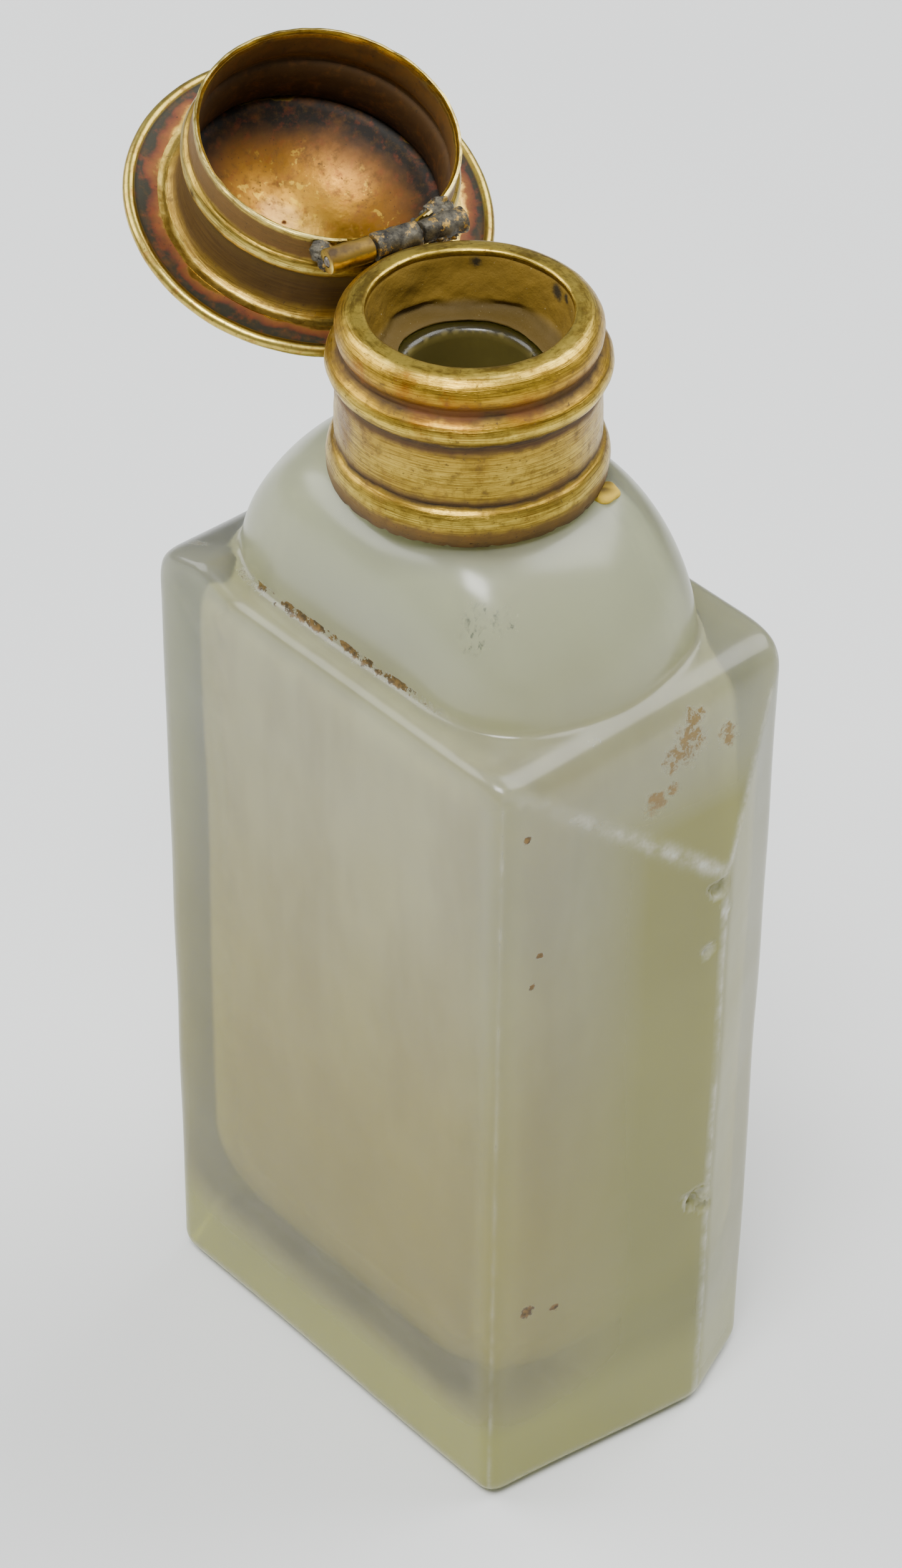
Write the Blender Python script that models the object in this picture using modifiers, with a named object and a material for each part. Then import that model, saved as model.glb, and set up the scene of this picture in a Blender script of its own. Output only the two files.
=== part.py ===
"""Glass oil bottle with a soldered brass neck collar and a hinged, brimmed brass lid.

The origin is the centre of the flat base, under the neck. +Z is up, the wide front face looks
along -Y, and the lid hinges over the -X end. Every length is in metres.
"""
import math

import bmesh
import bpy
from mathutils import Matrix, Vector

OBJECT_NAME = "glass_oil_bottle"

# Glass body
BODY_WIDTH = 0.046            # across the front face, corner to corner
BODY_DEPTH = 0.033
RIDGE_OUT = 0.0037            # how far each end's upright ridge stands out past the corners
RIDGE_BACK = 0.00725          # the ridge's place behind the middle of the body
SHOULDER_HEIGHT = 0.088
RIDGE_TOP = 0.0678            # where the sloping end facet meets the ridge
CORNER_ROUND = 0.0012
BASE_THICKNESS = 0.011
WALL = 0.0028
CAVITY_ROUND = 0.005

# Glass shoulder dome and neck
DOME_RADIUS = 0.021
DOME_HALF_DEPTH = 0.0136
DOME_TOP = 0.1006
DOME_SHARPNESS = 1.6
NECK_RADIUS = 0.0086
NECK_TOP = 0.1111
BORE_RADIUS = 0.0055

# Brass collar
SHEET = 0.00055
COLLAR_FOOT = 0.101
FOOT_RADIUS = 0.0119
LOWER_BEAD_RADIUS = 0.01215
WAIST_RADIUS = 0.01145
UPPER_BEAD_RADIUS = 0.0122
GROOVE_RADIUS = 0.0110
LIP_RADIUS = 0.0114
LIP_HEIGHT = 0.1153           # where the lip is widest
LIP_TOP = 0.1171
MOUTH_RADIUS = 0.00845

# Cement between the neck and the collar
CEMENT_FOOT = 0.1036
CEMENT_TOP = 0.1149
CEMENT_RADIUS = 0.0101
CEMENT_MOUTH = 0.0085
CEMENT_LEDGE = 0.0072

# Hinge
HINGE_AZIMUTH = math.radians(168.5)
HINGE_REACH = 0.01245         # from the collar's axis to the hinge axis
HINGE_HEIGHT = 0.1166
OPEN_ANGLE = math.radians(159)
KNUCKLE_RADIUS = 0.00115
KNUCKLE_BORE = 0.0005
PIN_RADIUS = 0.00045
HINGE_LENGTH = 0.0134
MIDDLE_KNUCKLE = 0.0043

# Lid, measured closed, upward from its rim
RING_RADIUS = 0.01175
RING_BEAD = 0.00062           # how far the ring's bead stands out
RING_BEAD_HEIGHT = 0.0039
BRIM_HEIGHT = 0.0096
BRIM_RADIUS = 0.0166
ROLL_RADIUS = 0.0006          # the brim's rolled edge
LID_DOME_RADIUS = 0.0112
LID_DOME_RISE = 0.0042

GAP = 0.0003                  # between pieces that touch
HINGE_CLEARANCE = 0.00025     # round the knuckles, where the ring and the lip are notched
TURN_STEPS = 44
SMALL_STEPS = 20


def make_collection(name):
    collection = bpy.data.collections.new(name)
    bpy.context.scene.collection.children.link(collection)
    return collection


def make_material(name, colour, roughness, metallic=0.0, transmission=0.0):
    material = bpy.data.materials.new(name)
    material.use_nodes = True
    shader = material.node_tree.nodes["Principled BSDF"]
    shader.inputs["Base Color"].default_value = (*colour, 1.0)
    shader.inputs["Roughness"].default_value = roughness
    shader.inputs["Metallic"].default_value = metallic
    shader.inputs["Transmission Weight"].default_value = transmission
    return material


def add_object(name, mesh, collection, material=None):
    thing = bpy.data.objects.new(name, mesh)
    collection.objects.link(thing)
    if material:
        mesh.materials.append(material)
    return thing


def smooth(mesh, angle=35):
    mesh.shade_smooth()
    mesh.set_sharp_from_angle(angle=math.radians(angle))


def arc(centre, radii, start, end, steps):
    """Points on an upright elliptical arc, ends included, with its angles in degrees."""
    points = []
    for step in range(steps + 1):
        angle = math.radians(start + (end - start) * step / steps)
        points.append((centre[0] + radii[0] * math.cos(angle), centre[1] + radii[1] * math.sin(angle)))
    return points


def turned_mesh(name, profile, closed=False, steps=TURN_STEPS, thickness=0.0):
    """Turn a profile of (radius, height) points round the Z axis."""
    outline = bpy.data.meshes.new(name)
    edges = [(i, i + 1) for i in range(len(profile) - 1)]
    if closed:
        edges.append((len(profile) - 1, 0))
    outline.from_pydata([(radius, 0, height) for radius, height in profile], edges, [])
    blank = bpy.data.objects.new(name, outline)
    bpy.context.scene.collection.objects.link(blank)
    screw = blank.modifiers.new("turn", "SCREW")
    screw.steps = screw.render_steps = steps
    screw.use_merge_vertices = True
    screw.merge_threshold = 0.000001
    if thickness:
        shell = blank.modifiers.new("sheet", "SOLIDIFY")
        shell.thickness = thickness
        shell.offset = -1
    mesh = frozen_mesh(blank)
    bpy.data.objects.remove(blank)
    smooth(mesh)
    mesh.name = name
    return mesh


def frozen_mesh(thing):
    """The evaluated mesh of an object, with doubled points welded."""
    bpy.context.view_layer.update()
    evaluated = thing.evaluated_get(bpy.context.evaluated_depsgraph_get())
    mesh = bpy.data.meshes.new_from_object(evaluated)
    shape = bmesh.new()
    shape.from_mesh(mesh)
    bmesh.ops.remove_doubles(shape, verts=shape.verts, dist=0.000002)
    shape.to_mesh(mesh)
    shape.free()
    return mesh


def lofted_mesh(name, sections):
    """Join rings of equal point counts, lowest first, and cap both ends."""
    shape = bmesh.new()
    rings = [[shape.verts.new(point) for point in section] for section in sections]
    count = len(rings[0])
    for lower, upper in zip(rings, rings[1:]):
        for i in range(count):
            following = (i + 1) % count
            shape.faces.new((lower[i], lower[following], upper[following], upper[i]))
    shape.faces.new(list(reversed(rings[0])))
    shape.faces.new(rings[-1])
    mesh = bpy.data.meshes.new(name)
    shape.to_mesh(mesh)
    shape.free()
    return mesh


def box_mesh(name, low, high, rounding=0.0, segments=2):
    low, high = Vector(low), Vector(high)
    shape = bmesh.new()
    bmesh.ops.create_cube(shape, size=1)
    bmesh.ops.scale(shape, vec=high - low, verts=shape.verts)
    bmesh.ops.translate(shape, vec=(low + high) / 2, verts=shape.verts)
    if rounding:
        bmesh.ops.bevel(shape, geom=shape.edges[:], offset=rounding, segments=segments,
                        profile=0.5, affect="EDGES")
    mesh = bpy.data.meshes.new(name)
    shape.to_mesh(mesh)
    shape.free()
    return mesh


def make_cutter(name, mesh, collection, matrix=None):
    cutter = add_object(name, mesh, collection)
    cutter.hide_render = True
    cutter.display_type = "WIRE"
    if matrix:
        cutter.matrix_world = matrix
    return cutter


def boolean(thing, cutter, operation="DIFFERENCE"):
    modifier = thing.modifiers.new(cutter.name, "BOOLEAN")
    modifier.operation = operation
    modifier.solver = "EXACT"
    modifier.object = cutter


def soft_least(values, sharpness):
    """A smooth minimum, so that the surfaces it joins meet in a rounded edge."""
    return sum(value ** -sharpness for value in values) ** (-1 / sharpness)


def shoulder_section(height, inset=0.0, count=TURN_STEPS):
    """The dome's outline at one height: a circle flattened by the front and the back."""
    share = max(0.0, (height - SHOULDER_HEIGHT) / (DOME_TOP - SHOULDER_HEIGHT))
    slope = (1 - share ** DOME_SHARPNESS) ** (1 / DOME_SHARPNESS)
    steep = (1 - share ** 2.5) ** (1 / 2.5)
    radius = FOOT_RADIUS + (DOME_RADIUS - FOOT_RADIUS) * slope - inset
    half_depth = FOOT_RADIUS + (DOME_HALF_DEPTH - FOOT_RADIUS) * steep - inset
    points = []
    for i in range(count):
        angle = 2 * math.pi * (i + 0.5) / count
        side = half_depth / max(abs(math.sin(angle)), 0.2)
        reach = soft_least((radius, side), 14) if share < 1 else radius
        points.append((reach * math.cos(angle), reach * math.sin(angle), height))
    return points


def circle_section(radius, height, count=TURN_STEPS):
    angles = [2 * math.pi * (i + 0.5) / count for i in range(count)]
    return [(radius * math.cos(a), radius * math.sin(a), height) for a in angles]


def body_prism(collection):
    """The six-sided body as a closed outline, extruded and softened at its edges."""
    half_width, half_depth = BODY_WIDTH / 2, BODY_DEPTH / 2
    ridge = half_width + RIDGE_OUT
    outline = [(-half_width, -half_depth), (half_width, -half_depth), (ridge, RIDGE_BACK),
               (half_width, half_depth), (-half_width, half_depth), (-ridge, RIDGE_BACK)]
    curve = bpy.data.curves.new("body_outline", "CURVE")
    curve.dimensions = "2D"
    curve.fill_mode = "BOTH"
    curve.extrude = SHOULDER_HEIGHT / 2
    spline = curve.splines.new("POLY")
    spline.points.add(len(outline) - 1)
    for point, place in zip(spline.points, outline):
        point.co = (*place, 0, 1)
    spline.use_cyclic_u = True
    blank = bpy.data.objects.new("body_outline", curve)
    collection.objects.link(blank)
    blank.location.z = SHOULDER_HEIGHT / 2
    mesh = frozen_mesh(blank)
    mesh.transform(blank.matrix_world)
    bpy.data.objects.remove(blank)
    return mesh


def make_bottle(parts, cutters, glass):
    bottle = add_object("glass_bottle", body_prism(parts), parts, glass)
    rounding = bottle.modifiers.new("soft_edges", "BEVEL")
    rounding.width = CORNER_ROUND
    rounding.segments = 2
    rounding.limit_method = "ANGLE"
    rounding.angle_limit = math.radians(15)

    facet_tilt = math.atan2(RIDGE_OUT, SHOULDER_HEIGHT - RIDGE_TOP)
    facet = box_mesh("end_facet", (0, -0.04, -0.05), (0.03, 0.04, 0.03))
    for side, turn in (("right", 0), ("left", math.pi)):
        place = (Matrix.Rotation(turn, 4, "Z") @ Matrix.Translation((BODY_WIDTH / 2, 0, SHOULDER_HEIGHT))
                 @ Matrix.Rotation(-facet_tilt, 4, "Y"))
        boolean(bottle, make_cutter(f"facet_{side}", facet, cutters, place))

    heights = [SHOULDER_HEIGHT - 0.002]
    dome_rings = 8
    for i in range(dome_rings):
        heights.append(SHOULDER_HEIGHT + (DOME_TOP - SHOULDER_HEIGHT) * math.sin(math.pi / 2 * i / (dome_rings - 0.6)))
    sections = [shoulder_section(height) for height in heights]
    sections += [circle_section(radius, height) for radius, height in (
        (FOOT_RADIUS, DOME_TOP), (0.0108, 0.1013), (0.0095, 0.1020), (NECK_RADIUS, 0.1032),
        (NECK_RADIUS, NECK_TOP - 0.0005), (NECK_RADIUS - 0.0006, NECK_TOP))]
    boolean(bottle, make_cutter("dome_and_neck", lofted_mesh("dome_and_neck", sections), cutters), "UNION")

    reach = BODY_WIDTH / 2 - WALL
    half_depth = BODY_DEPTH / 2 - WALL
    room = box_mesh("cavity", (-reach, -half_depth, BASE_THICKNESS), (reach, half_depth, SHOULDER_HEIGHT - WALL),
                    CAVITY_ROUND, 4)
    boolean(bottle, make_cutter("cavity", room, cutters))
    heights = [SHOULDER_HEIGHT + step for step in (-0.010, 0, 0.003, 0.0055, 0.0075, 0.009)]
    inside = [shoulder_section(height, WALL) for height in heights]
    inside += [circle_section(radius, height) for radius, height in (
        (0.0078, 0.0990), (0.0062, 0.1005), (BORE_RADIUS, 0.1020), (BORE_RADIUS, NECK_TOP + 0.002))]
    boolean(bottle, make_cutter("dome_and_bore", lofted_mesh("dome_and_bore", inside), cutters))
    return bottle


def collar_profile():
    """The collar's outer surface from inside the mouth, over the lip and down to the foot."""
    lip_middle = (MOUTH_RADIUS + LIP_RADIUS) / 2
    half_lip = (LIP_RADIUS - MOUTH_RADIUS) / 2
    profile = arc((lip_middle, LIP_HEIGHT), (half_lip, LIP_TOP - LIP_HEIGHT), 180, -30, 10)
    profile += [(GROOVE_RADIUS, 0.1137)]
    profile += arc((0.01115, 0.11215), (UPPER_BEAD_RADIUS - 0.01115, 0.0012), 70, -70, 6)
    profile += [(WAIST_RADIUS, 0.1104), (WAIST_RADIUS - 0.00006, 0.1077), (WAIST_RADIUS, 0.1051),
                (WAIST_RADIUS - 0.0002, 0.1047)]
    profile += arc((0.0113, 0.1026), (LOWER_BEAD_RADIUS - 0.0113, 0.0018), 75, 0, 4)
    profile += [(FOOT_RADIUS, COLLAR_FOOT)]
    return profile


def hinge_matrix(opening=0.0):
    """The hinge frame: +X towards the collar's axis when closed, Y along the pin."""
    place = (HINGE_REACH * math.cos(HINGE_AZIMUTH), HINGE_REACH * math.sin(HINGE_AZIMUTH), HINGE_HEIGHT)
    return (Matrix.Translation(place) @ Matrix.Rotation(HINGE_AZIMUTH + math.pi, 4, "Z")
            @ Matrix.Rotation(-opening, 4, "Y"))


def along_hinge(mesh, middle):
    """Lay a mesh turned about Z along the pin, centred at a distance from the hinge's middle."""
    mesh.transform(Matrix.Translation((0, middle, 0)) @ Matrix.Rotation(math.pi / 2, 4, "X"))
    return mesh


def rod_mesh(name, radius, length, middle=0.0):
    ends = length / 2
    return along_hinge(turned_mesh(name, [(0, ends), (radius, ends), (radius, -ends), (0, -ends)],
                                   steps=SMALL_STEPS), middle)


def knuckle_mesh(name, length, middle):
    ends = length / 2
    section = [(KNUCKLE_BORE, ends), (KNUCKLE_RADIUS, ends), (KNUCKLE_RADIUS, -ends), (KNUCKLE_BORE, -ends)]
    return along_hinge(turned_mesh(name, section, closed=True, steps=SMALL_STEPS), middle)


def make_collar(parts, cutters, brass):
    collar = add_object("collar", turned_mesh("collar", collar_profile(), thickness=SHEET), parts, brass)
    notch = rod_mesh("lip_notch", KNUCKLE_RADIUS + HINGE_CLEARANCE, HINGE_LENGTH + 0.001)
    boolean(collar, make_cutter("lip_notch", notch, cutters, hinge_matrix()))
    return collar


def make_cement(parts, cement):
    """The lining that shows in the mouth, its ledge over the neck, and the bed round the neck."""
    inner = NECK_RADIUS + GAP
    ledge = NECK_TOP + GAP
    profile = [(CEMENT_MOUTH, CEMENT_TOP), (CEMENT_RADIUS, CEMENT_TOP), (CEMENT_RADIUS, CEMENT_FOOT),
               (inner, CEMENT_FOOT), (inner, ledge), (CEMENT_LEDGE, ledge), (CEMENT_LEDGE, ledge + 0.0003),
               (CEMENT_MOUTH - 0.0003, ledge + 0.0009)]
    return add_object("neck_cement", turned_mesh("neck_cement", profile, closed=True), parts, cement)


def make_collar_hinge(parts, cutters, brass, steel, solder):
    middle = add_object("collar_knuckle", knuckle_mesh("collar_knuckle", MIDDLE_KNUCKLE, 0), parts, brass)
    pin = add_object("hinge_pin", rod_mesh("hinge_pin", PIN_RADIUS, HINGE_LENGTH + 0.0002), parts, steel)
    for thing in (middle, pin):
        thing.matrix_world = hinge_matrix()

    half = MIDDLE_KNUCKLE / 2 - 0.0001
    lump = add_object("collar_solder", box_mesh("collar_solder", (-0.0009, -half, -0.0027), (0.0016, half, -0.0006),
                                                0.0003), parts, solder)
    lump.matrix_world = hinge_matrix()
    barrel = rod_mesh("middle_clearance", KNUCKLE_RADIUS + GAP, HINGE_LENGTH)
    boolean(lump, make_cutter("middle_clearance", barrel, cutters, hinge_matrix()))
    outer = [(radius + GAP, height) for radius, height in collar_profile() if height < LIP_TOP - 0.0001]
    outer = [point for point in outer if point[0] > GROOVE_RADIUS - 0.0002]
    outer = [(0, outer[0][1] + 0.001), (outer[0][0], outer[0][1] + 0.001)] + outer + [(0, outer[-1][1])]
    boolean(lump, make_cutter("collar_clearance", turned_mesh("collar_clearance", outer), cutters))


def skirt_profile():
    """The lid ring's outer surface, from its flared foot under the brim down to its free rim."""
    wall = RING_RADIUS - 0.0001
    flare = arc((0.0128, 0.00735), (0.00115, 0.0017), 100, 180, 5)
    bead = arc((wall, RING_BEAD_HEIGHT), (RING_BEAD + 0.0001, 0.00095), 80, -80, 6)
    return flare + [(wall, 0.0054)] + bead + [(RING_RADIUS, 0.0027), (RING_RADIUS, 0)]


def cover_profile():
    """The lid's cover: its dome, the brim with a rolled edge, and the hollow underside."""
    def dome(lift, radius):
        curvature = (LID_DOME_RADIUS ** 2 + LID_DOME_RISE ** 2) / (2 * LID_DOME_RISE)
        drop = curvature - math.sqrt(curvature ** 2 - radius ** 2)
        return radius, BRIM_HEIGHT + lift + LID_DOME_RISE - drop

    radii = [LID_DOME_RADIUS * step / 6 for step in range(7)]
    top = [dome(SHEET + 0.00025, radius) for radius in radii]
    under = [dome(0.00025, radius - 0.0001 if radius else 0) for radius in reversed(radii)]
    roll_centre = (BRIM_RADIUS - ROLL_RADIUS, BRIM_HEIGHT + ROLL_RADIUS / 2)
    roll = arc(roll_centre, (ROLL_RADIUS, ROLL_RADIUS), 140, -140, 10)
    brim_top = [(LID_DOME_RADIUS + 0.0007, BRIM_HEIGHT + SHEET)]
    brim_under = [(LID_DOME_RADIUS + 0.0005, BRIM_HEIGHT)]
    return top + brim_top + roll + brim_under + under


def make_lid(parts, cutters, hinge, brass, solder):
    centre = Matrix.Translation((HINGE_REACH, 0, 0))

    def lid_piece(name, mesh, material):
        piece = add_object(name, mesh, parts, material)
        piece.parent = hinge
        return piece

    cover = turned_mesh("lid_cover", cover_profile())
    cover.transform(centre)
    lid_piece("lid_cover", cover, brass)
    ring = turned_mesh("lid_ring", skirt_profile(), thickness=SHEET)
    ring.transform(centre)
    ring = lid_piece("lid_ring", ring, brass)
    notch = rod_mesh("ring_notch", KNUCKLE_RADIUS + HINGE_CLEARANCE, HINGE_LENGTH + 0.001)
    notch = make_cutter("ring_notch", notch, cutters)
    notch.parent = hinge
    boolean(ring, notch)

    barrel = make_cutter("barrel_clearance", rod_mesh("barrel_clearance", KNUCKLE_RADIUS + GAP, HINGE_LENGTH), cutters)
    barrel.parent = hinge
    wall = [(0, 0.006), (RING_RADIUS + GAP, 0.006), (RING_RADIUS + GAP, -0.006), (0, -0.006)]
    wall = turned_mesh("ring_clearance", wall)
    wall.transform(centre)
    wall = make_cutter("ring_clearance", wall, cutters)
    wall.parent = hinge

    length = (HINGE_LENGTH - MIDDLE_KNUCKLE) / 2 - GAP
    for name, side in (("front", -1), ("rear", 1)):
        middle = side * (HINGE_LENGTH / 2 - length / 2)
        lid_piece(f"lid_knuckle_{name}", knuckle_mesh(f"lid_knuckle_{name}", length, middle), brass)
        half = length / 2 - 0.0001
        low, high = (0.0002, middle - half, 0.0003), (0.0034, middle + half, 0.0024)
        lump = lid_piece(f"lid_solder_{name}", box_mesh(f"lid_solder_{name}", low, high, 0.0003), solder)
        boolean(lump, barrel)
        boolean(lump, wall)


def main():
    for thing in list(bpy.data.objects):
        bpy.data.objects.remove(thing)
    parts = make_collection(OBJECT_NAME)
    cutters = make_collection("cutters")
    glass = make_material("hazed_glass", (0.72, 0.74, 0.64), 0.25, transmission=0.6)
    brass = make_material("aged_brass", (0.55, 0.40, 0.16), 0.35, metallic=1.0)
    steel = make_material("dull_steel", (0.30, 0.30, 0.30), 0.5, metallic=1.0)
    solder = make_material("grey_solder", (0.22, 0.21, 0.20), 0.6, metallic=0.8)
    cement = make_material("yellow_cement", (0.45, 0.36, 0.12), 0.7)

    make_bottle(parts, cutters, glass)
    make_collar(parts, cutters, brass)
    make_cement(parts, cement)
    make_collar_hinge(parts, cutters, brass, steel, solder)
    hinge = bpy.data.objects.new("lid_hinge", None)
    parts.objects.link(hinge)
    hinge.matrix_world = hinge_matrix(OPEN_ANGLE)
    make_lid(parts, cutters, hinge, brass, solder)


main()
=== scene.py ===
"""Looks for the glass oil bottle: hazed moulded glass, a patinated brass collar and a hinged brass lid.

Shapes are worked out in millimetres in the frame of the part they ride on, and become metres in
add_piece. The frame gives the glass's overall size; the other driving sizes are named below.
"""

import itertools
import math

import bpy
import numpy as np
from mathutils import Matrix, Vector


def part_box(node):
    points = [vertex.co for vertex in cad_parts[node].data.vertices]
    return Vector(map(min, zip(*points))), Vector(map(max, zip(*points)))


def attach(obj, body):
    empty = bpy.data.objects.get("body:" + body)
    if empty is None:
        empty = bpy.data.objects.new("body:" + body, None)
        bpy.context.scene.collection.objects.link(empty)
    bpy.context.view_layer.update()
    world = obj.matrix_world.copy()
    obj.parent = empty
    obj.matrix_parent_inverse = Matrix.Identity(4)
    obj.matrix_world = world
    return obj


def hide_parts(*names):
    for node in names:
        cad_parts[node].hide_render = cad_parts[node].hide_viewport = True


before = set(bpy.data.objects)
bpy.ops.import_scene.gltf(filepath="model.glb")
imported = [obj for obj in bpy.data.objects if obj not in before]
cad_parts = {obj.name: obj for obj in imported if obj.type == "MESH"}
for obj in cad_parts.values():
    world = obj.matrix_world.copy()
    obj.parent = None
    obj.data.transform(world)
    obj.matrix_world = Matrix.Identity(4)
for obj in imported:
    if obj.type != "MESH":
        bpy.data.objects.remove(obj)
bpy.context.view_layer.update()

MM = 0.001

# The glass body
GLASS_HIGH = np.array(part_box("glass_bottle")[1]) / MM
HALF_DEPTH = GLASS_HIGH[1]
RIDGE_REACH = 26.7
HALF_WIDTH = 23.0
RIDGE_BACK = 7.25
LEDGE = 88.0
RIDGE_TOP = 67.8
BASE = 11.0
WALL = 2.8
NECK_TOP = GLASS_HIGH[2]
NECK = 8.6
BORE = 5.5
DOME_TOP = 100.6
DOME_RADIUS = 21.0
DOME_HALF_DEPTH = 13.6
FOOT = 11.9                  # the dome's radius where the collar sits on it
GLASS_PITCH = 0.45

# Marks on the glass: x, y, z and reach
CHIPS = [(26.9, 6.4, 66.6, 1.1), (26.9, 5.4, 59.6, 0.8), (27.2, 5.6, 28.6, 1.5), (23.3, -16.9, 88.1, 0.8),
         (26.9, 7.4, 63.6, 0.7), (27.1, 6.9, 27.0, 0.9)]
STAINS = [(24.0, 3.9, 82.9, 2.7), (23.7, 5.1, 84.9, 1.6), (24.1, 2.2, 81.9, 1.6), (24.6, -0.3, 79.0, 1.7),
          (24.2, 8.6, 81.2, 1.5), (22.9, -5.7, 88.0, 1.6), (24.6, 1.8, 79.4, 1.0)]
SPECKS = [(23.4, -14.1, 81.7, 0.5), (23.6, -12.5, 67.9, 0.45), (23.5, -13.2, 64.6, 0.4),
          (23.6, -12.8, 24.1, 0.9), (24.0, -9.8, 23.0, 0.6)]
SCUFFS = [(12.6, -10.4, 97.2, 1.5), (14.6, -9.0, 97.0, 1.5), (13.4, -11.4, 95.6, 1.5)]

# The brass collar and the mouth
SHEET = 0.55
LIP_RADIUS = 11.4
LIP_HEIGHT = 115.3
LIP_TOP = 117.1
MOUTH = 8.45
TURNS = 200
BLACK_SPOTS = [(6.6, 5.3, 115.0, 0.55), (6.9, 4.7, 114.2, 0.6), (1.6, 8.3, 115.7, 1.0),
               (3.0, 7.9, 116.0, 0.7), (-6.0, 6.0, 115.9, 0.8)]
RED_PATCHES = [(7.6, -8.0, 113.8, 2.4), (5.2, -9.7, 113.7, 2.4), (10.3, -3.6, 113.8, 2.4)]
BROWN_PATCHES = [(3.5, -10.0, 115.6, 1.6), (6.6, -8.2, 115.4, 1.3), (-1.0, -10.6, 115.2, 1.5)]

# The hinge and the lid
HINGE_AZIMUTH = math.radians(168.5)
HINGE_REACH = 12.45
HINGE_HEIGHT = 116.6
OPEN_ANGLE = math.radians(159)
KNUCKLE = 1.15
KNUCKLE_BORE = 0.52
PIN = 0.45
HINGE_HALF = 6.7
MIDDLE_HALF = 2.15
KNUCKLE_GAP = 0.3
RING = 11.75
RING_CLEARANCE = 1.42        # the rim is cut back this far round the knuckles
BRIM_HEIGHT = 9.6
BRIM_RADIUS = 16.6
BRIM_ROLL = 0.6
LID_DOME = 11.2
LID_DOME_RISE = 4.2
LID_DOME_STEP = 0.25         # the dome's edge stands this far above the brim

# The stage: each light has a name, a place, a size and a power
FLOOR_HALF = 2.0
LIGHTS = [("window", (0.24, -0.42, 1.15), 0.45, 15.0),
          ("side", (-0.9, -0.5, 0.9), 0.9, 13.0),
          ("overhead", (0.2, 0.8, 1.2), 1.0, 19.0)]
LIGHT_TARGET = Vector((0, 0, 0.07))
SKY_COLOUR = (0.84, 0.87, 0.90, 1)
SKY_STRENGTH = 0.45

# The camera
CAMERA_AZIMUTH = math.radians(47.72)
CAMERA_ELEVATION = math.radians(39.79)
CAMERA_ROLL = math.radians(0.64)
CAMERA_DISTANCE = 0.4263
CAMERA_TARGET = Vector((-0.00855, 0.00623, 0.05664))
CAMERA_LENS = 104.7

# Colours of the brass by height or radius, as (millimetres, colour); besides patina, some of them hold painted
# highlights and painted shade
# On the collar the bright crowns of the beads (103.3, 112.2) are painted highlights. The dark grooves (104.7,
# 110.85, 113.55) and the dark underside of the lower bead down to the foot are partly patina and partly
# painted shade.
COLLAR_STOPS = [
    (101.0, (72, 50, 18)), (101.5, (96, 68, 26)), (102.3, (122, 90, 36)), (103.3, (214, 184, 92)),
    (104.3, (186, 150, 66)), (104.7, (44, 28, 10)), (105.1, (92, 64, 24)), (105.8, (182, 150, 70)),
    (107.6, (204, 172, 86)), (109.6, (186, 152, 72)), (110.3, (96, 62, 28)), (110.85, (48, 26, 16)),
    (111.3, (196, 162, 70)), (112.2, (232, 200, 100)), (113.0, (190, 150, 56)), (113.55, (64, 42, 16)),
    (113.95, (92, 56, 20)), (114.5, (160, 112, 38)), (115.3, (204, 160, 60)), (116.6, (220, 178, 74)),
    (117.1, (232, 200, 104))]
# On the ring's outside the bright crown of the main bead (3.9) is a painted highlight.
RING_STOPS = [
    (0.0, (226, 204, 140)), (0.35, (206, 180, 110)), (0.75, (122, 86, 34)), (2.6, (116, 80, 32)),
    (3.1, (188, 156, 78)), (3.9, (236, 212, 136)), (4.6, (190, 156, 78)), (5.05, (84, 66, 28)),
    (5.7, (104, 78, 32)), (6.6, (84, 58, 20)), (8.5, (88, 62, 22)), (9.3, (170, 136, 66)),
    (9.6, (204, 174, 104))]
# Inside the ring the colour darkens to near black towards the foot of the wall (8.6 to 9.6): black residue
# with painted shade.
RING_INSIDE_STOPS = [
    (0.0, (226, 212, 166)), (0.35, (196, 170, 108)), (0.8, (120, 84, 38)), (2.8, (92, 62, 26)),
    (3.4, (140, 104, 52)), (4.2, (84, 56, 24)), (6.5, (74, 48, 20)), (8.6, (50, 32, 16)),
    (9.6, (24, 18, 12))]
# In the hollow the colour darkening from 9.9 to the near-black ring at the foot of the ring wall (10.6 to
# 12.3) is black residue with painted shade.
LID_INSIDE_STOPS = [
    (0.0, (214, 168, 90)), (3.0, (196, 144, 62)), (6.5, (172, 118, 44)), (8.9, (132, 84, 30)),
    (9.9, (84, 52, 20)), (10.6, (34, 24, 14)), (12.3, (24, 20, 14)), (12.5, (180, 148, 80)),
    (12.8, (222, 194, 118)), (13.5, (206, 172, 96)), (13.9, (140, 84, 46)), (14.5, (104, 52, 34)),
    (14.8, (46, 42, 34)), (15.55, (48, 46, 38)), (15.7, (186, 160, 88)), (16.2, (214, 190, 116)),
    (16.6, (206, 180, 104))]
LID_TOP_STOPS = [
    (0.0, (196, 164, 96)), (8.0, (180, 146, 80)), (11.0, (124, 96, 50)), (12.0, (150, 118, 62)),
    (15.2, (176, 146, 86)), (16.6, (232, 218, 166))]
# Across the barrel the bright band (-0.2 to 0.6) is a painted highlight, and the darker edges above and below
# it are painted shade.
KNUCKLE_STOPS = [
    (-1.2, (70, 50, 22)), (-0.9, (150, 118, 54)), (-0.2, (240, 212, 134)), (0.6, (214, 182, 104)),
    (1.2, (120, 90, 44))]
BRASS_TINT = (0.86, 0.87, 0.60, 1.0)


# ---------------------------------------------------------------- mesh helpers

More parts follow.
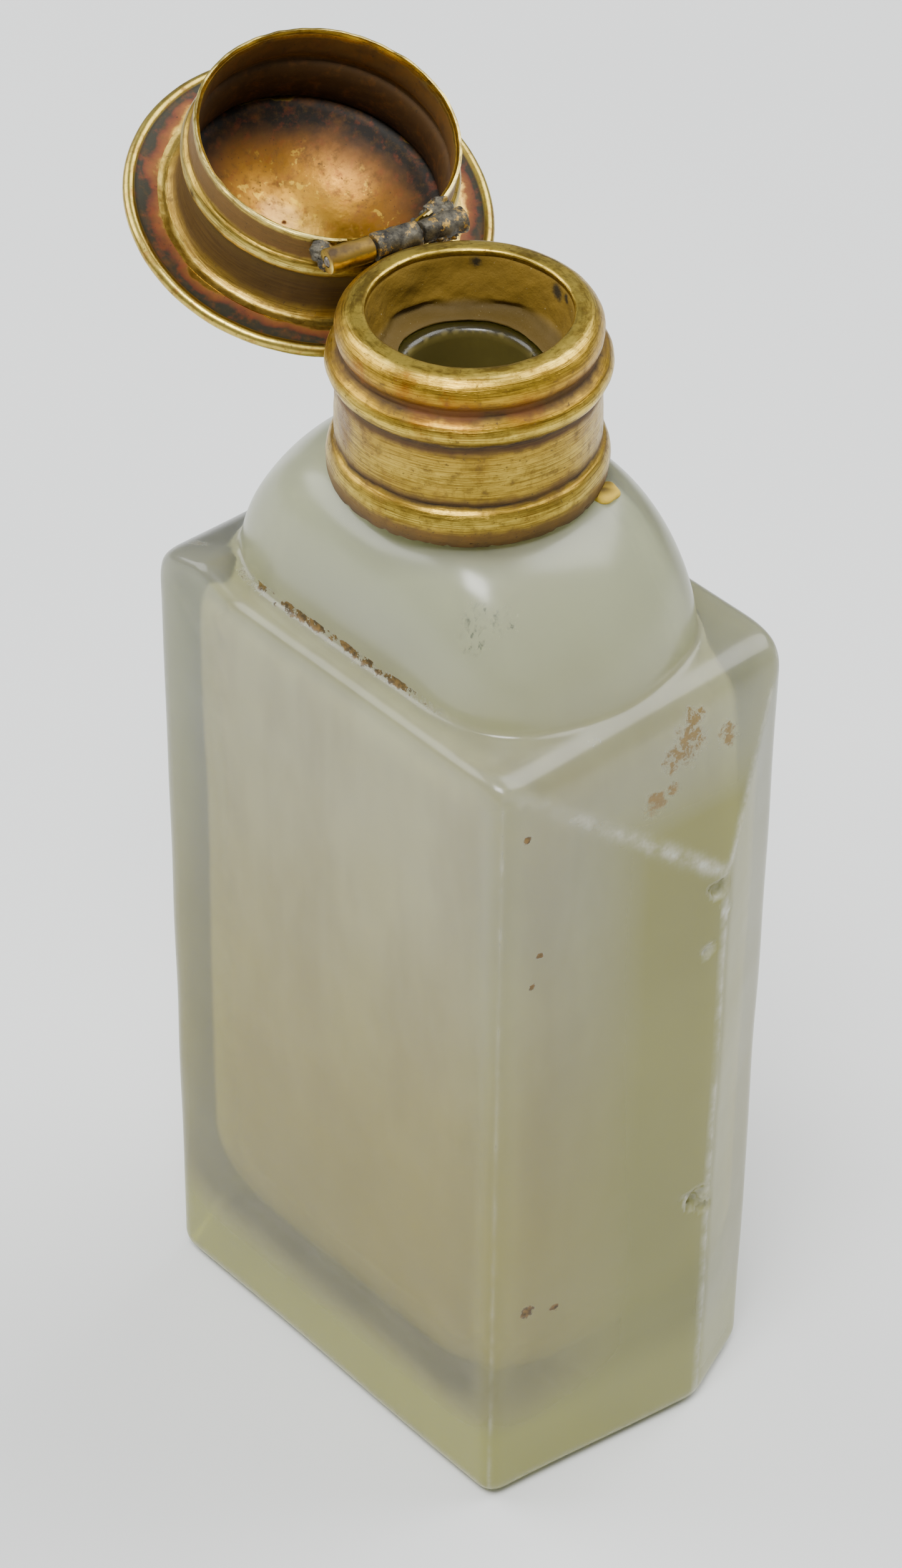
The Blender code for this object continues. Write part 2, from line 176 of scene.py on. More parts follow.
def add_piece(name, points, faces, materials, body, replaces, slots=None, place=None, sharp=38):
    """A mesh from millimetre points, riding on a body and standing for CAD nodes."""
    mesh = bpy.data.meshes.new(name)
    mesh.from_pydata((np.asarray(points) * MM).tolist(), [], [list(map(int, face)) for face in faces])
    if place is not None:
        mesh.transform(place)
    for material in materials:
        mesh.materials.append(material)
    if slots is not None:
        mesh.polygons.foreach_set("material_index", np.asarray(slots, np.int32))
    mesh.update()
    mesh.validate()
    mesh.shade_smooth()
    if sharp:
        mesh.set_sharp_from_angle(angle=math.radians(sharp))
    piece = bpy.data.objects.new(name, mesh)
    bpy.context.scene.collection.objects.link(piece)
    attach(piece, body)
    if replaces:
        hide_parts(*replaces)
    return piece


def wander(points, size, seed, waves=10):
    """Smooth random values, mostly within 1 of zero, with bumps about size across."""
    draw = np.random.default_rng(seed)
    total = 0
    for _ in range(waves):
        direction = draw.normal(size=3)
        direction *= 2 * math.pi * draw.uniform(0.6, 1.5) / (size * np.linalg.norm(direction))
        total = total + np.sin(points @ direction + draw.uniform(0, 2 * math.pi))
    return total / math.sqrt(waves)


def outward(points):
    """Directions straight out from the Z axis."""
    return points[:, :2] / np.hypot(points[:, 0], points[:, 1])[:, None]


def soft_max(a, b, width):
    share = np.maximum(width - np.abs(a - b), 0) / width
    return np.maximum(a, b) + share * share * width / 4


def soft_min(a, b, width):
    return -soft_max(-a, -b, width)


def slope_of(field, points, step=0.02):
    columns = []
    for axis in range(3):
        shift = np.zeros(3)
        shift[axis] = step
        columns.append((field(points + shift) - field(points - shift)) / (2 * step))
    return np.stack(columns, 1)


def crossing_faces(inside, number):
    """Quads across every grid edge that passes through the surface."""
    faces = []
    for axis in range(3):
        ahead = np.moveaxis(inside, axis, 0)
        crossing = np.moveaxis(ahead[:-1] != ahead[1:], 0, axis)
        places = np.argwhere(crossing)
        u, v = (axis + 1) % 3, (axis + 2) % 3
        places = places[(places[:, u] > 0) & (places[:, v] > 0)]
        places = places[(places[:, u] < number.shape[u]) & (places[:, v] < number.shape[v])]
        quad = []
        for back_u, back_v in ((0, 0), (1, 0), (1, 1), (0, 1)):
            cell = places.copy()
            cell[:, u] -= back_u
            cell[:, v] -= back_v
            quad.append(number[tuple(cell.T)])
        quad = np.stack(quad, 1)
        forward = inside[tuple(places.T)]
        quad[~forward] = quad[~forward][:, ::-1]
        faces.append(quad)
    return np.concatenate(faces)


def skin(field, low, high, pitch, evening=2):
    """A closed quad mesh on the surface where field(points) is zero, negative being inside."""
    axes = [np.arange(start, end + pitch, pitch) for start, end in zip(low, high)]
    grid = np.stack(np.meshgrid(*axes, indexing="ij"), -1)
    inside = field(grid.reshape(-1, 3)).reshape(grid.shape[:3]) < 0
    across, deep, tall = np.array(inside.shape) - 1
    corners = sum(inside[i:across + i, j:deep + j, k:tall + k].astype(int)
                  for i, j, k in itertools.product((0, 1), repeat=3))
    mixed = (corners > 0) & (corners < 8)
    number = np.full(mixed.shape, -1)
    number[mixed] = np.arange(mixed.sum())
    points = np.array([axis[0] for axis in axes]) + (np.argwhere(mixed) + 0.5) * pitch
    faces = crossing_faces(inside, number)

    for turn in range(evening + 1):
        for _ in range(3):
            slope = slope_of(field, points)
            step = field(points)[:, None] * slope / np.maximum((slope ** 2).sum(1), 1e-9)[:, None]
            points = points - np.clip(step, -pitch / 2, pitch / 2)
        if turn < evening:
            middle = points[faces].mean(1)
            total = np.zeros_like(points)
            shared = np.zeros(len(points))
            for corner in range(4):
                np.add.at(total, faces[:, corner], middle)
                np.add.at(shared, faces[:, corner], 1)
            points = points + 0.6 * (total / shared[:, None] - points)
    return points, faces


def arc(centre, radii, start, end, steps):
    points = []
    for step in range(steps + 1):
        angle = math.radians(start + (end - start) * step / steps)
        points.append((centre[0] + radii[0] * math.cos(angle), centre[1] + radii[1] * math.sin(angle)))
    return points


def smooth_line(points, spacing=0.12):
    """A curve through (radius, height) points, resampled evenly."""
    points = np.array(points, float)
    dense = []
    ghost = np.vstack([2 * points[0] - points[1], points, 2 * points[-1] - points[-2]])
    for before, start, end, after in zip(ghost, ghost[1:], ghost[2:], ghost[3:]):
        reach = max(2, int(np.linalg.norm(end - start) / spacing))
        for t in np.arange(reach) / reach:
            curve = (2 * before - 5 * start + 4 * end - after) * t ** 2
            curve = curve + (3 * start - before - 3 * end + after) * t ** 3
            dense.append(0.5 * (2 * start + (end - before) * t + curve))
    dense.append(points[-1])
    return np.array(dense)


def sheet_outline(outer, thickness):
    """A closed outline: the outer line, then back along a line one sheet to its right."""
    along = np.gradient(outer, axis=0)
    along /= np.linalg.norm(along, axis=1)[:, None]
    inner = outer + thickness * np.stack([along[:, 1], -along[:, 0]], 1)
    return np.vstack([outer, inner[::-1]])


def turned(outline, closed=True, turns=TURNS):
    """An outline turned about the Z axis: its points, its faces, and each face's row of the outline."""
    outline = np.asarray(outline, float)
    angles = 2 * math.pi * np.arange(turns) / turns
    radius, height = outline[:, 0][:, None], outline[:, 1][:, None]
    points = np.stack([radius * np.cos(angles), radius * np.sin(angles), height + 0 * angles], -1)
    faces, rows = [], []
    count = len(outline)
    for row in range(count if closed else count - 1):
        here, following = row * turns, (row + 1) % count * turns
        for turn in range(turns):
            ahead = (turn + 1) % turns
            faces.append((here + turn, following + turn, following + ahead, here + ahead))
            rows.append(row)
    return points.reshape(-1, 3), np.array(faces), np.array(rows)


def hinge_place(opening=0.0):
    """The hinge frame in metres: +X towards the collar's axis when closed, Y along the pin."""
    reach = HINGE_REACH * MM
    spot = (reach * math.cos(HINGE_AZIMUTH), reach * math.sin(HINGE_AZIMUTH), HINGE_HEIGHT * MM)
    return (Matrix.Translation(spot) @ Matrix.Rotation(HINGE_AZIMUTH + math.pi, 4, "Z")
            @ Matrix.Rotation(-opening, 4, "Y"))


LID_PLACE = hinge_place(OPEN_ANGLE)
LID_AXIS_PLACE = LID_PLACE @ Matrix.Translation((HINGE_REACH * MM, 0, 0))


# ---------------------------------------------------------------- materials

def linear(red, green, blue):
    """A colour given in the usual 0 to 255 values."""
    return tuple((value / 255 / 12.92) if value < 10.3 else ((value / 255 + 0.055) / 1.055) ** 2.4
                 for value in (red, green, blue)) + (1.0,)


class Look:
    """A node material with one Principled shader, and short ways to add its nodes.

    Lengths given to its methods are in millimetres. frame_place is where the piece's own frame lies,
    for a piece whose patterns follow that frame.
    """

    def __init__(self, name, frame_place=None):
        self.material = bpy.data.materials.new(name)
        self.material.use_nodes = True
        self.tree = self.material.node_tree
        self.shader = self.tree.nodes["Principled BSDF"]
        place = self.tree.nodes.new("ShaderNodeTexCoord")
        self.place = place.outputs["Object"]
        if frame_place is not None:
            back = frame_place.inverted()
            mapping = self.node("ShaderNodeMapping", None, Vector=self.place, Location=back.to_translation(),
                                Rotation=back.to_euler())
            self.place = mapping.outputs[0]
        split = self.node("ShaderNodeSeparateXYZ", Vector=self.place)
        self.x, self.y, self.z = split.outputs
        flat = self.node("ShaderNodeCombineXYZ", X=self.x, Y=self.y)
        self.radius = self.node("ShaderNodeVectorMath", "LENGTH", flat.outputs[0]).outputs["Value"]

    def plug(self, socket, value):
        """Link a socket to another node's output, or give it a plain value."""
        if isinstance(value, bpy.types.NodeSocket):
            self.tree.links.new(value, socket)
        else:
            socket.default_value = value

    def node(self, kind, operation=None, *inputs, **named):
        node = self.tree.nodes.new(kind)
        if operation:
            node.operation = operation
        for key, value in list(enumerate(inputs)) + list(named.items()):
            self.plug(node.inputs[key], value)
        return node

    def math(self, operation, a, b=0.0):
        return self.node("ShaderNodeMath", operation, a, b).outputs[0]

    def times(self, first, *others):
        for other in others:
            first = self.math("MULTIPLY", first, other)
        return first

    def fade(self, value, start, end, low=0.0, high=1.0):
        """low where the value is start, turning smoothly to high where it is end."""
        node = self.node("ShaderNodeMapRange", None, value, start, end, low, high)
        node.interpolation_type = "SMOOTHSTEP"
        return node.outputs[0]

    def across(self, length, start, end, low=0.0, high=1.0):
        """The same along a length, such as the height."""
        return self.fade(length, start * MM, end * MM, low, high)

    def noise(self, size, detail=3.0, rough=0.55, seed=0.0, stretch=None, lumpy=0.0):
        """Noise from 0 to 1 with marks about size across."""
        place = self.place
        if stretch:
            place = self.node("ShaderNodeVectorMath", "MULTIPLY", place, stretch).outputs[0]
        node = self.tree.nodes.new("ShaderNodeTexNoise")
        node.noise_dimensions = "4D"
        for key, value in (("Vector", place), ("W", seed), ("Scale", 1 / (size * MM)), ("Detail", detail),
                           ("Roughness", rough), ("Distortion", lumpy)):
            self.plug(node.inputs[key], value)
        return node.outputs["Fac"]

    def spot(self, x, y, z, reach, ragged=0.5, seed=0.0):
        """1 in the middle of a mark and 0 outside it, with a ragged edge."""
        middle = (x * MM, y * MM, z * MM)
        away = self.node("ShaderNodeVectorMath", "DISTANCE", self.place, middle).outputs["Value"]
        uneven = self.math("SUBTRACT", self.noise(reach * 0.7, 4, 0.7, seed), 0.5)
        away = self.math("ADD", away, self.times(uneven, reach * MM * 2 * ragged))
        return self.across(away, reach, reach * 0.35)

    def spots(self, marks, ragged, seed):
        """The strongest of several marks, each (x, y, z, reach)."""
        strongest = 0.0
        for number, mark in enumerate(marks):
            strongest = self.math("MAXIMUM", strongest, self.spot(*mark, ragged, seed + number))
        return strongest

    def ramp(self, value, stops):
        """Colours along a length; stops are (length, colour) in rising order."""
        low, high = stops[0][0], stops[-1][0]
        share = self.node("ShaderNodeMapRange", None, value, low * MM, high * MM, 0.0, 1.0).outputs[0]
        node = self.tree.nodes.new("ShaderNodeValToRGB")
        self.plug(node.inputs[0], share)
        elements = node.color_ramp.elements
        while len(elements) < len(stops):
            elements.new(0.5)
        # Moving an element can change their order, so the colours go in afterwards
        for element, (length, _) in zip(elements, stops):
            element.position = (length - low) / (high - low)
        for element, (_, colour) in zip(elements, stops):
            element.color = linear(*colour)
        return node.outputs["Color"]

    def mix(self, share, a, b, way="MIX"):
        """A colour that goes from a to b."""
        node = self.tree.nodes.new("ShaderNodeMix")
        node.data_type = "RGBA"
        node.blend_type = way
        for index, value in ((0, share), (6, a), (7, b)):
            self.plug(node.inputs[index], value)
        return node.outputs[2]

    def blend(self, share, a, b):
        """A number that goes from a to b."""
        node = self.tree.nodes.new("ShaderNodeMix")
        for index, value in ((0, share), (2, a), (3, b)):
            self.plug(node.inputs[index], value)
        return node.outputs[0]

    def bump(self, height, depth, under=None):
        node = self.node("ShaderNodeBump", None, Strength=1.0, Distance=depth * MM, Height=height)
        if under:
            self.plug(node.inputs["Normal"], under)
        return node.outputs[0]

    def set(self, **inputs):
        for key, value in inputs.items():
            self.plug(self.shader.inputs[key.replace("_", " ")], value)
        return self.material


def glass_colour(look, cavity, thick, worn, broad):
    """Milky haze on the inner face, and clear glass that is more olive where it is thick, with painted shade
    down the neck inside the mouth.
    """
    streaks = look.fade(look.noise(8, 3, 0.5, 12.0, stretch=(1.0, 1.0, 0.3)), 0.35, 0.65)
    haze = look.mix(streaks, linear(208, 190, 122), linear(240, 228, 178))
    haze = look.mix(look.across(look.z, 66, 14), haze, linear(196, 178, 82))
    haze = look.mix(look.across(look.z, 78, 94), haze, linear(236, 238, 230))
    # The haze in the bore is darker: olive glass with painted shade down the neck.
    haze = look.mix(look.across(look.z, 97, 101), haze, linear(150, 136, 72))
    clear = look.mix(look.across(look.z, 84, 30), linear(240, 242, 226), linear(232, 222, 140))
    deep = look.mix(look.across(look.z, 14, 7), linear(150, 148, 72), linear(194, 192, 92))
    clear = look.mix(thick, clear, look.mix(broad, deep, linear(176, 174, 96)))
    clear = look.mix(worn, clear, linear(244, 244, 232))
    colour = look.mix(cavity, clear, haze)
    # The glass above 100.7, seen only down the mouth, is darker: olive glass with painted shade.
    return look.mix(look.across(look.z, 100.7, 101.6), colour, linear(112, 100, 40))


def shoulder_dirt(look):
    """The line of dirt in the corner along the front of the shoulder, strongest in its middle."""
    depth = look.math("ABSOLUTE", look.math("ADD", look.y, (DOME_HALF_DEPTH + 0.2) * MM))
    above = look.math("ABSOLUTE", look.math("SUBTRACT", look.z, (LEDGE + 0.1) * MM))
    uneven = look.times(look.noise(0.8, 4, 0.7, 7.0), 0.6 * MM)
    away = look.math("ADD", look.math("MAXIMUM", depth, above), uneven)
    middle = look.times(look.across(look.x, -17, -6, 0.25, 1.0), look.across(look.x, 5, 13, 1.0, 0.1))
    broken = look.fade(look.noise(1.3, 5, 0.75, 8.0), 0.42, 0.56, 0.0, 0.85)
    return look.times(look.across(away, 0.85, 0.45), middle, broken)


def glass_look():
    look = Look("hazed_olive_glass")
    marks = []
    for name in ("cavity", "thick", "wear"):
        mark = look.tree.nodes.new("ShaderNodeAttribute")
        mark.attribute_name = name
        marks.append(mark.outputs["Fac"])
    cavity, thick, wear = marks
    outside = look.math("SUBTRACT", 1.0, cavity)
    cloud = look.noise(6, 5, 0.6, 2.0)
    worn = look.times(wear, look.fade(look.noise(2.5, 4, 0.6, 6.0), 0.35, 0.70, 0.15, 0.8))
    colour = glass_colour(look, cavity, thick, worn, look.noise(22, 3, 0.5, 1.0))

    scratches = look.fade(look.noise(0.8, 4, 0.8, 83.0, stretch=(1.6, 1.6, 0.35)), 0.50, 0.60)
    scuffs = look.times(look.spots(SCUFFS, 0.9, 80.0), scratches)
    colour = look.mix(look.times(scuffs, outside), colour, linear(120, 128, 124))

    # Ochre stains, dark specks and the line of dirt, on the outside only
    broken = look.fade(look.noise(0.9, 5, 0.75, 5.0, lumpy=0.6), 0.36, 0.64, 0.0, 0.72)
    stains = look.times(look.spots(STAINS, 0.9, 10.0), broken)
    specks = look.spots(SPECKS, 0.9, 30.0)
    dirt = look.math("MAXIMUM", look.math("MAXIMUM", stains, specks), shoulder_dirt(look))
    dirt = look.times(dirt, outside)
    dark = look.fade(look.noise(0.5, 3, 0.6, 9.0), 0.35, 0.65)
    dirt_colour = look.mix(dark, linear(60, 46, 20), linear(132, 100, 46))
    dirt_colour = look.mix(look.fade(stains, 0.0, 0.3, 0.0, 0.75), dirt_colour, linear(158, 128, 72))
    colour = look.mix(look.fade(dirt, 0.02, 0.4), colour, dirt_colour)

    inner_clear = look.blend(look.fade(cloud, 0.35, 0.7), 0.42, 0.26)
    outer_clear = look.blend(thick, look.blend(cloud, 0.84, 0.93), 0.55)
    outer_clear = look.times(outer_clear, look.blend(worn, 1.0, 0.75))
    clearness = look.blend(cavity, outer_clear, inner_clear)
    clearness = look.times(clearness, look.math("SUBTRACT", 1.0, look.times(dirt, 0.85)))
    rough = look.blend(cavity, look.blend(cloud, 0.18, 0.27), 0.6)
    rough = look.math("ADD", rough, look.times(look.math("MAXIMUM", dirt, scuffs), 0.5))
    look.set(Base_Color=colour, Roughness=rough, Transmission_Weight=clearness, IOR=1.5,
             Normal=look.bump(look.noise(6, 2, 0.35, 3.0), 0.12))
    absorb = look.tree.nodes.new("ShaderNodeVolumeAbsorption")
    absorb.inputs["Color"].default_value = (0.60, 0.62, 0.22, 1.0)
    absorb.inputs["Density"].default_value = 115.0
    look.plug(look.tree.nodes["Material Output"].inputs["Volume"], absorb.outputs[0])
    return look.material


def brass_look(name, along, stops, seed, patches, spots=0.3, brushed=None, shiny=0.26, extra=None, place=None):
    """Patinated brass.

    along is "height" or "radius" and stops give its colour there, painted highlights and painted shade
    included. patches are (size, colour, strength), brushed stretches the brushing's noise, and extra adds the
    piece's own marks.
    """
    look = Look(name, place)
    value = look.z if along == "height" else look.radius
    wobble = look.times(look.math("SUBTRACT", look.noise(1.8, 4, 0.6, seed), 0.5), 0.9 * MM)
    if along == "radius":
        # Rings of colour, tarnish and painted shade alike, wander more, but stay true at the rolled edge
        wide = look.times(look.math("SUBTRACT", look.noise(9.0, 3, 0.6, seed + 12), 0.5), 4.0 * MM)
        wobble = look.math("ADD", look.times(wobble, 1.7), wide)
        wobble = look.times(wobble, look.across(value, 15.5, 14.8))
    colour = look.ramp(look.math("ADD", value, wobble), stops)
    mottle = look.noise(0.8, 5, 0.7, seed + 1)
    for number, (size, patch, strength) in enumerate(patches):
        cover = look.fade(look.noise(size, 4, 0.6, seed + 2 + number), 0.50, 0.68, 0.0, strength)
        colour = look.mix(look.times(cover, look.fade(mottle, 0.3, 0.7, 0.4, 1.0)), colour, linear(*patch))
    grime = look.times(look.fade(look.noise(0.55, 3, 0.6, seed + 6), 0.66, 0.74), spots)
    colour = look.mix(grime, colour, linear(52, 34, 18))
    colour = look.mix(look.fade(mottle, 0.48, 0.70, 0.0, 0.50), colour, linear(96, 68, 28))
    pits = look.fade(look.noise(0.28, 2, 0.5, seed + 10), 0.64, 0.72, 0.0, 0.6)
    colour = look.mix(pits, colour, linear(58, 40, 18))

    # Dark colour, tarnish and painted shade alike, is rougher and less like metal than clean brass; painted
    # highlights count as clean
    bright = look.tree.nodes.new("ShaderNodeRGBToBW")
    look.plug(bright.inputs[0], colour)
    clean_and_lit = look.fade(bright.outputs[0], 0.02, 0.32)
    rough = look.math("ADD", look.blend(clean_and_lit, shiny + 0.32, shiny), look.times(mottle, 0.14))
    metal = look.blend(clean_and_lit, 0.35, 1.0)
    bump = look.bump(look.noise(2.6, 3, 0.5, seed + 8), 0.09)
    bump = look.bump(look.noise(0.25, 4, 0.6, seed + 7), 0.007, bump)
    if brushed:
        lines = look.noise(1.0, 4, 0.75, seed + 9, stretch=brushed)
        bump = look.bump(lines, 0.04, bump)
        colour = look.mix(look.fade(lines, 0.44, 0.62, 0.0, 0.7), colour, linear(104, 76, 30))
    if extra:
        colour = extra(look, colour)
    colour = look.mix(1.0, colour, BRASS_TINT, "MULTIPLY")
    return look.set(Base_Color=colour, Roughness=rough, Metallic=metal, Normal=bump)


def solder_look(name, seed, place):
    look = Look(name, place)
    lumps = look.noise(0.9, 5, 0.7, seed)
    colour = look.mix(look.fade(lumps, 0.3, 0.7), linear(28, 26, 24), linear(98, 92, 76))
    gold = look.fade(look.noise(0.9, 4, 0.7, seed + 1), 0.53, 0.62)
    colour = look.mix(gold, colour, linear(168, 136, 72))
    bump = look.bump(lumps, 0.12)
    bump = look.bump(look.noise(0.2, 3, 0.6, seed + 2), 0.02, bump)
    return look.set(Base_Color=colour, Roughness=look.blend(lumps, 0.7, 0.4),
                    Metallic=look.blend(gold, 0.55, 0.95), Normal=bump)


def steel_look():
    look = Look("dull_pin_steel")
    rust = look.noise(0.4, 4, 0.6, 3.0)
    colour = look.mix(look.fade(rust, 0.45, 0.65), linear(130, 126, 118), linear(88, 66, 46))
    return look.set(Base_Color=colour, Metallic=look.blend(rust, 1.0, 0.5),
                    Roughness=look.blend(rust, 0.35, 0.65), Normal=look.bump(rust, 0.02))


def cement_look():
    """Yellow-brown cement, with painted shade down in the mouth, and paler where it squeezed out under the
    collar.
    """
    look = Look("yellow_cement")
    cloud = look.noise(2.0, 4, 0.6, 1.0)
    colour = look.mix(cloud, linear(96, 74, 16), linear(142, 112, 34))
    # Below 112.1 the cement is darkened: painted shade deep in the mouth.
    colour = look.mix(look.across(look.z, 112.1, 112.9, 0.85, 0.0), colour, linear(72, 56, 14))
    colour = look.mix(look.across(look.z, 101.5, 101.0), colour, linear(206, 172, 58))
    white = look.fade(look.noise(0.28, 4, 0.7, 2.0), 0.66, 0.74, 0.0, 0.8)
    colour = look.mix(white, colour, linear(222, 210, 170))
    for number, mark in enumerate(BLACK_SPOTS):
        black = look.times(look.spot(*mark, 0.6, 4.0 + number), 0.9)
        colour = look.mix(black, colour, linear(30, 28, 22))
    bump = look.bump(cloud, 0.15)
    bump = look.bump(look.noise(0.3, 4, 0.7, 5.0), 0.06, bump)
    return look.set(Base_Color=colour, Roughness=look.blend(cloud, 0.8, 0.6), Specular_IOR_Level=0.3,
                    Normal=bump)


# ---------------------------------------------------------------- glass

def dome_field(points, inset=0.0):
    """The shoulder dome: round in plan, flattened at the front and the back."""
    x, y, z = points.T
    fullness = 1.6
    share = np.maximum((z + 0.7 * inset - LEDGE) / (DOME_TOP - LEDGE), 0)
    out = np.maximum(np.hypot(x, y) + inset - FOOT, 0) / (DOME_RADIUS - FOOT)
    shell = ((out ** fullness + share ** fullness) ** (1 / fullness) - 1) * 9
    half_depth = FOOT + (DOME_HALF_DEPTH - FOOT) * np.maximum(1 - share ** 2.5, 0) ** 0.4
    return soft_max(shell, np.abs(y) + inset - half_depth, 4.5)


def end_fields(points):
    """The two flanks of an end, and the sloping facet over them."""
    x, y, z = points.T
    side = np.abs(x)
    out = RIDGE_REACH - HALF_WIDTH
    front = (side - HALF_WIDTH) - (y + HALF_DEPTH) * out / (HALF_DEPTH + RIDGE_BACK)
    rear = ((side - HALF_WIDTH) - (HALF_DEPTH - y) * out / (HALF_DEPTH - RIDGE_BACK)) * 0.93
    facet = (side - HALF_WIDTH) - (LEDGE - z) * out / (LEDGE - RIDGE_TOP)
    return front, rear, facet


def edge_wear(points):
    """1 in the chips and along the body's edges, where two of its faces meet, and 0 elsewhere."""
    faces = [*end_fields(points), np.abs(points[:, 1]) - HALF_DEPTH, -points[:, 2]]
    faces = np.sort(np.stack(faces), 0)
    upright = np.clip((LEDGE - 1.0 - points[:, 2]) / 1.5, 0, 1)
    worn = np.exp(-((faces[-1] - faces[-2]) / 0.16) ** 2) * upright
    for x, y, z, reach in CHIPS:
        worn = np.maximum(worn, np.sqrt(((points - (x, y, z)) ** 2).sum(1)) < reach + 0.15)
    return worn


def outer_field(points):
    """The body, the dome and the neck, run together with softened edges."""
    x, y, z = points.T
    front, rear, facet = end_fields(points)
    ends = soft_max(soft_max(front, rear, 0.6), facet, 0.15)
    # The top's left end stands a little higher
    rise = 1.3 * np.clip((x + 22.5) / 5.5, 0, 1) * np.clip((-x - 12) / 4, 0, 1)
    top = z - LEDGE - rise
    wall = soft_max(np.abs(y) - HALF_DEPTH, top, 1.5)
    body = soft_max(soft_max(ends, top, 3.8), wall, 1.7)
    body = soft_max(body, -z, 2.4)
    whole = soft_min(body, soft_max(dome_field(points), 84 - z, 0.5), 0.7)
    neck = soft_max(np.hypot(x, y) - NECK, z - NECK_TOP, 0.8)
    neck = soft_max(neck, 95 - z, 0.5)
    return soft_min(whole, neck, 1.2)


def cavity_field(points):
    """The hollow: a rounded box, the inside of the dome and the bore of the neck."""
    x, y, z = points.T
    box = soft_max(np.abs(x) - HALF_WIDTH + WALL, np.abs(y) - HALF_DEPTH + WALL, 7.0)
    box = soft_max(box, BASE - z, 8.0)
    box = soft_max(box, z - LEDGE + WALL, 4.0)
    inner = soft_min(box, soft_max(dome_field(points, WALL), 80 - z, 1.0), 1.5)
    return soft_min(inner, soft_max(np.hypot(x, y) - BORE, 94 - z, 0.5), 2.0)


def glass_field(points):
    outer = outer_field(points) + 0.05 * wander(points, 24, 1)
    for x, y, z, reach in CHIPS:
        near = points - (x, y, z)
        ball = reach - np.sqrt((near ** 2).sum(1)) + 0.26 * wander(points, 1.3, 2)
        outer = soft_max(outer, ball, 0.15)
    return soft_max(outer, -cavity_field(points) - 0.10 * wander(points, 17, 3), 0.6)


def make_glass():
    high = np.array([27.8, 17.6, NECK_TOP + 1.2])
    low = np.array([-27.8, -17.6, -1.2])
    points, faces = skin(glass_field, low, high, GLASS_PITCH)
    points[:, 2] = np.maximum(points[:, 2], 0.0)
    bottle = add_piece("moulded_glass", points, faces, [glass_look()], "bottle", ["glass_bottle"],
                       sharp=0)
    from_cavity = cavity_field(points)
    marks = {
        "cavity": np.abs(from_cavity) < np.abs(outer_field(points)),
        "thick": np.clip((from_cavity - 3.3) / 1.9, 0, 1),
        "wear": edge_wear(points),
    }
    for name, values in marks.items():
        attribute = bottle.data.attributes.new(name, "FLOAT", "POINT")
        attribute.data.foreach_set("value", values.astype(np.float32))


# ---------------------------------------------------------------- collar and neck

def collar_line():
    """The collar's outer surface, from inside the mouth over the lip and the beads to the foot."""
    line = [(MOUTH + 0.30, LIP_TOP - 0.55), (MOUTH + 0.30, LIP_TOP - 0.2), (MOUTH + 0.5, LIP_TOP - 0.02),
            (MOUTH + 0.95, LIP_TOP)]
    line += arc((MOUTH + 1.15, LIP_HEIGHT), (LIP_RADIUS - MOUTH - 1.15, LIP_TOP - LIP_HEIGHT), 72, -40, 9)
    line += [(11.0, 113.85), (10.98, 113.6)]
    line += arc((11.15, 112.15), (1.05, 1.15), 70, -70, 8)
    line += [(11.43, 110.75), (11.4, 110.3), (11.39, 107.7), (11.42, 105.2), (11.25, 104.75)]
    line += arc((11.3, 102.6), (0.85, 1.8), 78, 0, 6)
    line += [(12.05, 101.6), (11.9, 101.02)]
    return smooth_line(line)


def collar_ageing(look, colour):
    brown = look.times(look.spot(-4.0, -10.8, 108.0, 2.6, 0.7, 41.0), 0.7)
    colour = look.mix(brown, colour, linear(112, 76, 40))
    for marks, ragged, seed, strength, tone in ((RED_PATCHES, 0.7, 60.0, 0.4, (138, 72, 20)),
                                                (BROWN_PATCHES, 0.8, 50.0, 0.75, (156, 92, 30))):
        for number, mark in enumerate(marks):
            cover = look.times(look.spot(*mark, ragged, seed + number), strength)
            colour = look.mix(cover, colour, linear(*tone))
    return colour


def make_collar():
    points, faces, _ = turned(sheet_outline(collar_line(), SHEET))
    dents = 0.035 * wander(points, 6, 11) + 0.012 * wander(points, 1.6, 12)
    points[:, :2] += outward(points) * dents[:, None]
    foot = points[:, 2] < 101.5
    points[foot, 2] += 0.12 * np.maximum(wander(points[foot], 1.2, 13), 0) ** 2
    brass = brass_look("collar_brass", "height", COLLAR_STOPS, 3.0,
                       ((3.0, (140, 96, 36), 0.5), (1.5, (92, 66, 26), 0.6)), spots=0.5,
                       brushed=(0.2, 0.2, 7.0), extra=collar_ageing)
    add_piece("brass_collar", points, faces, [brass], "bottle", ["collar"])


def crumb_field(points):
    """The crumb of cement that squeezed out under the collar's foot."""
    near = (points - (10.5, 6.2, 100.7)) / (1.3, 1.5, 0.75)
    return np.sqrt((near ** 2).sum(1)) - 0.9 + 0.07 * wander(points, 1.4, 23)


